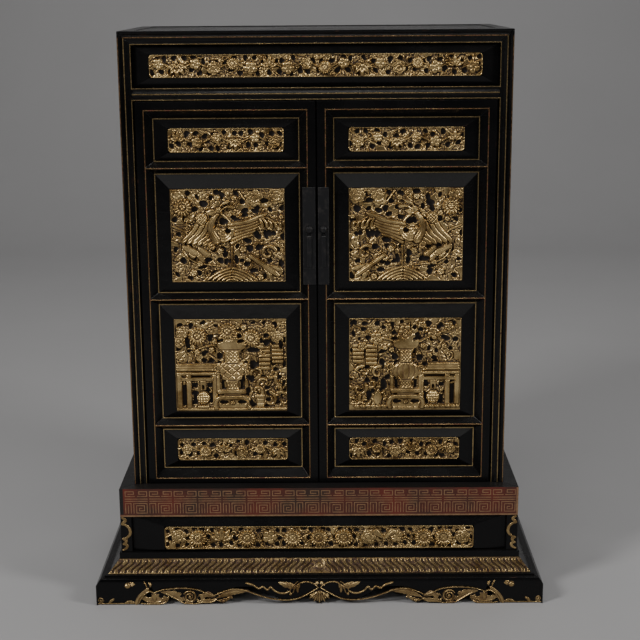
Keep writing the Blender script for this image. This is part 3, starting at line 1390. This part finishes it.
def bead_frame(bm, x, z, y, width=BEAD):
    """A rectangular frame of bead, its middle line on the given rectangle."""
    new = bmesh.new()
    bmesh.ops.create_grid(new, x_segments=1, y_segments=1, size=0.5)
    half = width / 2
    for vert in new.verts:
        side_x, side_z = math.copysign(half, vert.co.x), math.copysign(half, vert.co.y)
        vert.co = ((x[1] if vert.co.x > 0 else x[0]) + side_x, y + BEAD_SINK,
                   (z[1] if vert.co.y > 0 else z[0]) + side_z)
    new.normal_update()
    face = new.faces[:][0]
    bmesh.ops.inset_individual(new, faces=[face], thickness=width, use_even_offset=True)
    bmesh.ops.delete(new, geom=[face], context="FACES")
    grown = bmesh.ops.extrude_face_region(new, geom=new.faces[:], use_keep_orig=True)["geom"]
    for vert in filter(is_point, grown):
        vert.co.y = y - BEAD_RISE
    finish_bead(new, bm)


def bead_run(bm, spots, y, width=BEAD):
    """An open line of bead through points of the front, given as (x, z)."""
    new = bmesh.new()
    sections = []
    for step, spot in enumerate(spots):
        spot = Vector(spot)
        before = (spot - Vector(spots[step - 1])).normalized() if step else None
        after = (Vector(spots[step + 1]) - spot).normalized() if step + 1 < len(spots) else None
        ahead = ((before or after) + (after or before)).normalized()
        aside = Vector((-ahead.y, ahead.x))
        straight = (after or before).dot(ahead)
        aside *= width / 2 / max(straight, 0.5)
        near, far = spot - aside, spot + aside
        sections.append([(near.x, y + BEAD_SINK, near.y), (near.x, y - BEAD_RISE, near.y),
                         (far.x, y - BEAD_RISE, far.y), (far.x, y + BEAD_SINK, far.y)])
    loft(new, sections)
    finish_bead(new, bm)


def finish_bead(new, bm):
    """Rounds the front edges of a bead and adds it to the others."""
    bmesh.ops.recalc_face_normals(new, faces=new.faces)
    front = min(vert.co.y for vert in new.verts)
    sharp = [edge for edge in new.edges if edge.is_manifold
             and edge.calc_face_angle() > math.radians(30)
             and all(abs(vert.co.y - front) < WELD for vert in edge.verts)]
    bmesh.ops.bevel(new, geom=sharp, offset=BEAD * 0.28, offset_type="OFFSET", affect="EDGES",
                    segments=1, profile=0.5, material=-1, clamp_overlap=True)
    mesh = bpy.data.meshes.new("bead")
    new.to_mesh(mesh)
    new.free()
    bm.from_mesh(mesh)
    bpy.data.meshes.remove(mesh)


# %% Lines on the body
POST_INSET = 0.0080
EDGE_INSET = 0.0009
JAMB_INSET = 0.0008
post_low, post_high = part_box("post_front_left")
body_half = -post_low.x
front = post_low.y
opening = -post_high.x
middle_line = body_half - POST_INSET
high_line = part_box("top_board")[1].z + 0.001 - POST_INSET
body_foot = post_low.z
frieze_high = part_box("frieze_panel")[1]
rail_low, rail_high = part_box("frieze_bottom_rail")

bm = bmesh.new()
for side in (-1, 1):
    bead_run(bm, [(side * middle_line, body_foot), (side * middle_line, high_line)], front,
             POST_LINE)
rail_middle = (rail_low.z + rail_high.z) / 2
bead_run(bm, [(-opening, rail_middle), (opening, rail_middle)], front, CROSS_LINE)
setback = front + 0.001
bead_frame(bm, (-opening - 0.0006, opening + 0.0006),
           (rail_high.z - JAMB_INSET, frieze_high.z + JAMB_INSET), setback)
jamb, lintel = opening + JAMB_INSET, rail_low.z + JAMB_INSET
bead_run(bm, [(-jamb, body_foot), (-jamb, lintel), (jamb, lintel), (jamb, body_foot)], setback)
finish_piece("body_gilt_lines", bm, line_gold, "cabinet")
bm = bmesh.new()
bead_run(bm, [(-middle_line, high_line), (middle_line, high_line)], front, POST_LINE)
for side in (-1, 1):
    edge = side * (body_half - EDGE_INSET)
    bead_run(bm, [(edge, body_foot), (edge, high_line)], front, EDGE_LINE)
finish_piece("body_reddened_lines", bm, reddened_line, "cabinet")
print("Body lines at", round(middle_line, 4), "and", round(opening, 4))

# %% Lines on the doors
PANEL_NAMES = ("top", "phoenix", "vase", "bottom")
DOOR_NEAR_LINE = 0.0008 + 0.0110
DOOR_FAR_LINE = 0.2330 - 0.0120
DOOR_HIGH_LINE = 0.0040 + 0.0113
DOOR_LOW_LINE = 0.0040 + 0.0067
PANEL_DEPTH = 0.0100
PANEL_LIP = 0.0001

for name, side in (("left", -1), ("right", 1)):
    frame_low, frame_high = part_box(f"door_{name}_frame")
    x = sorted((side * DOOR_NEAR_LINE, side * DOOR_FAR_LINE))
    panels = [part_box(f"door_{name}_{part}_panel") for part in PANEL_NAMES]
    dividers = [(upper[0].z + lower[1].z) / 2 for upper, lower in zip(panels, panels[1:])]
    bm = bmesh.new()
    bead_frame(bm, x, (frame_low.z + DOOR_LOW_LINE, frame_high.z - DOOR_HIGH_LINE), frame_low.y,
               POST_LINE)
    for level in dividers:
        bead_run(bm, [(x[0], level), (x[1], level)], frame_low.y, CROSS_LINE)
    finish_piece(f"door_{name}_reddened_lines", bm, reddened_line, f"door_{name}")
    bm = bmesh.new()
    for panel_low, panel_high in panels:
        bead_frame(bm, (panel_low.x + PANEL_LIP, panel_high.x - PANEL_LIP),
                   (panel_low.z + PANEL_LIP, panel_high.z - PANEL_LIP),
                   frame_low.y + PANEL_DEPTH, PANEL_LINE)
    print("Door lines", name, [round(level, 4) for level in dividers])
    finish_piece(f"door_{name}_gilt_lines", bm, line_gold, f"door_{name}")

# %% [markdown]
# ## The apron
#
# The front apron is one black board with a cut lower edge: a foot at each end, three gilt
# leaves, a long scallop and a small fan in the middle. A gilt line follows the edge, and
# scrolls of leaf are carved on the board. They are bands on a board of heights again, but here
# the board is cut away where nothing is laid, and what is left is turned into a closed shell.

# %% Cut out a carving that has its own outline
APRON_CELL = 0.0006
NOTHING = -1.0


def cut_out(name, board, corner, face, behind, cell):
    """A closed shell of what was laid on a board, with a flat back."""
    kept = board.high > NOTHING / 2
    level = np.where(kept, board.high, 0.0)
    beside = blurred(level, round(HOLLOW_REACH / cell)) / np.maximum(
        blurred(kept.astype(float), round(HOLLOW_REACH / cell)), 0.2)
    hollow = np.clip(0.22 + 0.8 * (beside - level) / 0.0012, 0, 1)
    bm = bmesh.new()
    bmesh.ops.create_grid(bm, x_segments=board.columns, y_segments=board.rows, size=0.5)
    mark = bm.verts.layers.float.new("hollow")
    where = {}
    for vert in bm.verts:
        where[vert] = (round((vert.co.y + 0.5) * board.rows),
                       round((vert.co.x + 0.5) * board.columns))
    empty = [face for face in bm.faces if not all(kept[where[vert]] for vert in face.verts)]
    bmesh.ops.delete(bm, geom=empty, context="FACES")
    bmesh.ops.delete(bm, geom=[vert for vert in bm.verts if not vert.link_faces],
                     context="VERTS")
    for vert in bm.verts:
        row, column = where[vert]
        vert.co = (corner[0] + board.x[row, column], face - level[row, column],
                   corner[1] + board.z[row, column])
        vert[mark] = hollow[row, column]
    for _ in range(2):
        rim = [vert for vert in bm.verts if vert.is_boundary]
        bmesh.ops.smooth_vert(bm, verts=rim, factor=0.5, use_axis_x=True, use_axis_z=True)
    grown = bmesh.ops.extrude_face_region(bm, geom=bm.faces[:], use_keep_orig=True)["geom"]
    for vert in filter(is_point, grown):
        vert.co.y = behind
    bmesh.ops.recalc_face_normals(bm, faces=bm.faces)
    print(name, len(bm.faces), "faces")
    return bm


# %% Lay the leaves and lines of the apron
APRON_TALL = 0.0368
APRON_SINK = 0.0030
APRON_THROUGH = -0.0016
SHOULDER_FOOT = 0.0285
SHOULDER_DEPTH = 0.0106
apron_low, apron_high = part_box("base_apron_front")


def millimetres(spots):
    return smooth_path([(x / 1000, z / 1000) for x, z in spots])


def apron_line(board, spots, half, top):
    """A round gilt line through places measured from the board's lower outer corner."""
    band(board, millimetres(spots), lambda share: half, rounded(top, half), shoulder=0.0003,
         cut=0.0004)


def apron_leaf(board, spots, half, top, grooves=3, lobes=5):
    """A leaf with a lobed rim, and grooves that run along it."""
    def width(share):
        swell = np.sin(math.pi * np.clip(share, 0.04, 0.96)) ** 0.6
        return half * swell * (0.78 + 0.22 * ridges(share, lobes))

    def level(share, across):
        return top + 0.0008 * ridges(across / 2 + 0.5, grooves) - 0.0006 * across ** 2

    band(board, millimetres(spots), width, level, shoulder=0.0005, gap=0.0005, cut=0.0006)


def apron_volute(board, spot, radius, turns, start, way, half, top):
    scroll(board, np.array(spot) / 1000, radius / 1000, turns, start, top, half, way)


def lay_first_leaf(board):
    """A lobe like a mask: a rounded plate with two hollows and a ridge between them."""
    apron_leaf(board, [(61, 9), (78, 7.5), (97, 9)], 0.0090, 0.0003, 2, 1)
    apron_line(board, [(60, 2.5), (66, 1.4), (78, 1.2), (90, 1.8), (96, 6), (97, 12), (93, 16.5),
                       (88, 17.5)], 0.0010, 0.0023)
    apron_line(board, [(68, 4.5), (76, 3.4), (85, 4.0), (90, 8.5)], 0.0009, 0.0018)
    apron_leaf(board, [(79, 17), (78.5, 11), (79, 5)], 0.0030, 0.0014, 2, 1)
    for spot, across in (((71.0, 13.0), 0.0034), ((87.5, 12.5), 0.0030)):
        pierce(board, np.array(spot) / 1000, across, 0.0026, 0.1)


def lay_second_leaf(board):
    """A long leaf that rolls into a volute, and a ragged one behind it."""
    apron_leaf(board, [(88, 18), (104, 15), (117, 9), (132, 4.5)], 0.0062, 0.0006, 4, 7)
    apron_leaf(board, [(134, 6), (144, 12), (152, 14), (160, 11)], 0.0058, 0.0005, 3, 5)
    apron_leaf(board, [(136, 4), (147, 5), (157, 5.5), (164, 9)], 0.0036, 0.0008, 3, 4)
    apron_line(board, [(95, 15.5), (104, 10.5), (112, 5.4), (119, 2.0), (132, 1.3), (144, 3.0),
                       (154, 3.2), (161, 6), (165.5, 11.5)], 0.0009, 0.0022)
    disc(board, (0.1264, 0.0112), 0.0098, lambda reach, across, up: 0.0004, shoulder=0.0004)
    apron_volute(board, (126.4, 11.2), 9.0, 2.1, 2.6, -1, 0.0013, 0.0025)
    bud(board, (0.1264, 0.0112), 0.0024, 0.0020)
    for spot, across, up in (((116.5, 12.5), 0.0030, 0.0017), ((142.0, 16.5), 0.0026, 0.0014),
                             ((149.0, 9.0), 0.0026, 0.0013), ((139.0, 8.5), 0.0018, 0.0026)):
        pierce(board, np.array(spot) / 1000, across, up, 0.3)


def lay_third_leaf(board):
    """A leaf that tapers away along the scallop, with berries under it."""
    apron_leaf(board, [(163, 9.5), (176, 15.0), (190, 18.5), (206, 19.5)], 0.0052, 0.0008, 3, 8)
    apron_leaf(board, [(163, 6), (170, 5.0), (178, 8.0), (183, 12)], 0.0032, 0.0008, 2, 3)
    for spot, size in (((171.5, 4.6), 0.0024), ((183.5, 9.8), 0.0019)):
        bud(board, np.array(spot) / 1000, size, 0.0020)


def lay_hook(board):
    """The hook over the foot: a round head, an arch, and the broad band down to the foot."""
    apron_line(board, [(47, 31.5), (54, 34.0), (60.5, 34.2), (66.5, 30.6), (69.2, 23.8)],
               0.0013, 0.0022)
    apron_leaf(board, [(70.5, 32.5), (73.5, 29.0), (73.0, 25.0)], 0.0022, 0.0012, 2, 1)
    apron_leaf(board, [(38.5, 26.5), (44.5, 29.5), (52.0, 29.5)], 0.0056, 0.0012, 2, 3)
    bud(board, (0.0425, 0.0275), 0.0042, 0.0018)
    apron_line(board, [(53.5, 1.4), (56.0, 8.5), (61.0, 15.0), (69.5, 22.3)], 0.0027, 0.0018)
    apron_line(board, [(57.0, 1.8), (60.0, 8.5), (65.0, 14.6), (72.5, 19.5), (78.0, 17.4)],
               0.0010, 0.0024)


def lay_foot(board):
    apron_line(board, [(0.9, 1.7), (28, 1.7), (55, 1.7)], 0.0013, 0.0012)
    disc(board, (0.0058, 0.0064), 0.0046, lambda reach, across, up: 0.0006)
    apron_volute(board, (5.8, 6.4), 3.8, 1.2, 3.4, -1, 0.0010, 0.0016)
    apron_leaf(board, [(16, 3.0), (20.5, 6.4), (24.5, 8.6)], 0.0026, 0.0008, 2, 2)
    apron_leaf(board, [(38, 3.2), (44.0, 4.8), (52.0, 3.2)], 0.0021, 0.0008, 2, 2)


def lay_edge_line(board):
    apron_line(board, [(73, 19.5), (78, 17.3), (82.6, 19.4), (92.7, 22.2), (109.5, 23.8),
                       (120.8, 23.8), (132, 22.6), (141, 20.2), (148, 16.6), (154.5, 13.8),
                       (160, 13.6), (165.7, 16.3), (175, 20.0), (186, 22.4), (202, 19.8),
                       (218.5, 13.6), (235, 8.3), (251.3, 6.1), (267.7, 6.9), (280.8, 11.8),
                       (290.7, 17.8), (300.5, 23.9)], 0.0011, 0.0024)


def lay_centre_scroll(board):
    """Scrolls that roll outwards from the apron's middle and end in a wavy tendril."""
    apron_leaf(board, [(275, 24), (262, 26.5), (252, 30), (245, 33.8)], 0.0052, 0.0008, 3, 4)
    apron_line(board, [(300.4, 24.4), (294.5, 29.4), (285.0, 31.8), (276.0, 30.2), (269.5, 24.6),
                       (266.0, 16.5)], 0.0012, 0.0024)
    apron_line(board, [(279.0, 34.2), (271.5, 31.0), (264.5, 24.6), (261.5, 17.4)], 0.0011,
               0.0019)
    apron_leaf(board, [(276, 29), (272.5, 22), (273, 15.5)], 0.0026, 0.0012, 2, 2)
    apron_line(board, [(262, 18.5), (255, 15.6), (248, 16.0), (241, 19.6), (236, 24.8),
                       (231.5, 20.6), (225.5, 25.4), (219.5, 22.6), (213, 27.4), (203, 30.6)],
               0.0016, 0.0019)
    bud(board, (0.2630, 0.0148), 0.0024, 0.0022)
    apron_leaf(board, [(302, 35), (294, 35), (286, 35.4)], 0.0019, 0.0012, 2, 2)


def lay_fan(board, middle):
    """A fan of rays that hangs from the middle, under a knot."""
    for step in (0, 10, 2, 8, 4, 6, 1, 9, 3, 7, 5):
        angle = math.radians(-90 + (step - 5) * 12.5)
        reach = 0.0186 if step % 2 else 0.0162
        tip = (middle, 0.0195) + reach * heading(angle)
        band(board, [(middle, 0.0200), tip], blunt(0.0015, 0.25),
             lambda share, across: 0.0008 + 0.0014 * dome(across), shoulder=0.0004, cut=0.0022)
    for side in (-1, 1):
        bud(board, (middle + side * 0.0030, 0.0305), 0.0029, 0.0016)


board = Board(apron_high.x - apron_low.x, APRON_TALL, APRON_CELL, ground=NOTHING)
for lay_part in (lay_first_leaf, lay_second_leaf, lay_third_leaf, lay_foot, lay_hook,
                 lay_edge_line, lay_centre_scroll):
    lay_part(board)
half_columns = board.columns // 2
board.high[:, -half_columns - 1:] = board.high[:, :half_columns + 1][:, ::-1]
lay_fan(board, board.wide / 2)
laid = board.high > APRON_THROUGH
board.high = np.where(laid, np.clip(board.high, -0.0006, APRON_SINK - 0.0002), NOTHING)
face_y = apron_low.y + APRON_SINK
bm = cut_out("apron_gilding", board, (apron_low.x, 0.0003), face_y, face_y + 0.0014, APRON_CELL)
for vert in bm.verts:
    over = max(0.0, vert.co.z - SHOULDER_FOOT) / (apron_high.z - SHOULDER_FOOT)
    vert.co.y += SHOULDER_DEPTH * over ** 1.5
finish_piece("apron_gilding", bm, apron_gold, "cabinet", smooth=True)


def set_face_back(bm):
    """Draws the apron's front face in, so that its gilt leaves stand within its depth."""
    for vert in bm.verts:
        if vert.co.y < apron_low.y + APRON_SINK:
            vert.co.y = apron_low.y + APRON_SINK


soften_node("base_apron_front", lacquer, change=set_face_back)

# %% [markdown]
# ## Brackets at the waist
#
# At each end of the waist stands a narrow strip with a gilt bracket of cusps. It is cut out
# like the apron's leaves, from bands that follow the outer edge and bulge inwards.

# %% Carve the brackets
BRACKET_WIDE = 0.0148
BRACKET_TALL = 0.0490
BRACKET_CELL = 0.00045
BRACKET_FOOT = 0.0658
BRACKET_GAP = 0.0002
BRACKET_PARTS = (
    ((2.0, 48), (5.4, 46.4), (6.6, 43.6), (3.0, 41.6), (1.6, 39.4)),
    ((1.8, 38.8), (6.0, 38.2), (10.6, 34.4), (12.6, 28.8), (11.6, 23.4), (7.0, 19.2), (2.4, 17.8)),
    ((2.4, 17.4), (6.6, 15.0), (5.6, 11.8), (2.6, 10.4)),
    ((2.6, 10.0), (7.6, 8.6), (7.0, 5.0), (3.6, 2.2), (1.8, 1.6)))

rail_low, rail_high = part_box("fret_rail_front")
for name, side in (("left", -1), ("right", 1)):
    board = Board(BRACKET_WIDE, BRACKET_TALL, BRACKET_CELL, ground=NOTHING)
    for spots in BRACKET_PARTS:
        turned = [(x if side < 0 else BRACKET_WIDE * 1000 - x, z) for x, z in spots]
        band(board, millimetres(turned), lambda share: 0.0015 + 0.0008 * ridges(share, 1),
             lambda share, across: 0.0004 + 0.0008 * dome(across), shoulder=0.0004, cut=0.0)
    x = rail_high.x - BRACKET_WIDE - BRACKET_GAP if side > 0 else rail_low.x + BRACKET_GAP
    bm = cut_out(f"waist_bracket_{name}", board, (x, BRACKET_FOOT), rail_low.y,
                 rail_low.y + 0.0004, BRACKET_CELL)
    finish_piece(f"waist_bracket_{name}", bm, apron_gold, "cabinet", smooth=True)

# %% [markdown]
# ## Locks
#
# Each door has a long iron plate, thicker above than below, with a domed boss and a tongue for
# a pull. Their solids have the right shape, so they are only softened and given iron.

# %% Finish the iron
for name in ("left", "right"):
    for part in ("lock_plate", "lock_boss", "lock_pull"):
        soften_node(f"door_{name}_{part}", iron, IRON_ARRIS)

# %% Soften and lacquer what is left
replaced = set()
for item in bpy.data.objects:
    replaced.update(item.get("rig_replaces", []))
for node in sorted(frame["nodes"]):
    if node not in replaced:
        thin_lip = node.endswith("_panel") or node == "waist_front"
        soften_node(node, lacquer, LIP_ARRIS if thin_lip else ARRIS)
print("Softened the other boards")

# %% [markdown]
# ## The picture
#
# The cabinet stands on a plain pale floor that curves up behind it. Soft lamps on both sides,
# in front and above light it as in a studio, and one more lights the backdrop. The camera
# stands where the photograph's did, a little above the cabinet's top, looking down at it.

# %% Floor and backdrop
FLOOR = 3.6
FLOOR_CURVE = 1.2
floor_finish, tree, shader = new_finish("pale_floor")
tone = mottle(tree, place_on_object(tree), 2.5, 3.0)
plug(tree, shader.inputs["Base Color"],
     blend_colours(tree, tone, colour(0.42, 0.42, 0.43), colour(0.46, 0.46, 0.47)))
plug(tree, shader.inputs["Roughness"], 0.75)
bm = bmesh.new()
bmesh.ops.create_grid(bm, x_segments=1, y_segments=1, size=FLOOR)
back_edge = [edge for edge in bm.edges if all(vert.co.y > 0 for vert in edge.verts)]
grown = bmesh.ops.extrude_edge_only(bm, edges=back_edge)["geom"]
for vert in filter(is_point, grown):
    vert.co.z = FLOOR
fold = [edge for edge in bm.edges if all(vert.co.y > 0 and vert.co.z < 0.01
                                         for vert in edge.verts)]
bmesh.ops.bevel(bm, geom=fold, offset=FLOOR_CURVE, offset_type="OFFSET", affect="EDGES",
                segments=16, profile=0.5, material=-1)
mesh = bpy.data.meshes.new("studio_floor")
bm.to_mesh(mesh)
bm.free()
mesh.shade_smooth()
mesh.materials.append(floor_finish)
studio_floor = show("studio_floor", mesh)

# %% Lamps and surroundings
world = bpy.data.worlds.new("studio")
bpy.context.scene.world = world
world.use_nodes = True
surround = world.node_tree.nodes["Background"]
surround.inputs["Color"].default_value = colour(0.80, 0.82, 0.86)
surround.inputs["Strength"].default_value = 0.045


WARM_WHITE = (1.0, 0.98, 0.95)


def lamp(name, place, target, size, power):
    light = bpy.data.lights.new(name, "AREA")
    light.shape = "RECTANGLE"
    light.size, light.size_y = size
    light.energy = power
    light.color = WARM_WHITE
    made = show(name, light)
    made.location = place
    made.rotation_euler = (Vector(target) - Vector(place)).to_track_quat("-Z", "Y").to_euler()


lamp("left_softbox", (-1.8, -1.6, 1.9), (0, 0, 0.50), (0.5, 0.8), 38)
lamp("right_softbox", (2.0, -1.1, 1.7), (0, 0, 0.50), (0.5, 0.8), 24)
lamp("front_softbox", (0.0, -2.5, 1.65), (0, 0, 0.5), (2.2, 0.9), 7)
lamp("top_softbox", (0.0, -0.8, 2.6), (0, 0, 0.4), (0.8, 0.4), 6)
lamp("backdrop_softbox", (0.0, 1.2, 2.8), (0, 2.6, 0.4), (2.4, 0.8), 20)

# %% Camera
CAMERA_PLACE = Vector((0.0112, -1.8419, 0.8061))
YAW, PITCH, ROLL = -0.00457, 0.23795, 0.00715
FOCAL_PIXELS, FRAME_PIXELS, SENSOR = 1351.47, 640, 36.0

ahead = Vector((math.sin(YAW) * math.cos(PITCH), math.cos(YAW) * math.cos(PITCH),
                -math.sin(PITCH)))
right = Vector((math.cos(YAW), -math.sin(YAW), 0.0))
down = ahead.cross(right)
level_right = math.cos(ROLL) * right + math.sin(ROLL) * down
level_down = -math.sin(ROLL) * right + math.cos(ROLL) * down
lens = bpy.data.cameras.new("camera")
lens.sensor_width = SENSOR
lens.lens = FOCAL_PIXELS / FRAME_PIXELS * SENSOR
camera = show("camera", lens)
turn = Matrix((level_right, -level_down, -ahead)).transposed()
camera.matrix_world = Matrix.Translation(CAMERA_PLACE) @ turn.to_4x4()
bpy.context.scene.camera = camera
print("Camera lens", round(lens.lens, 1), "mm")
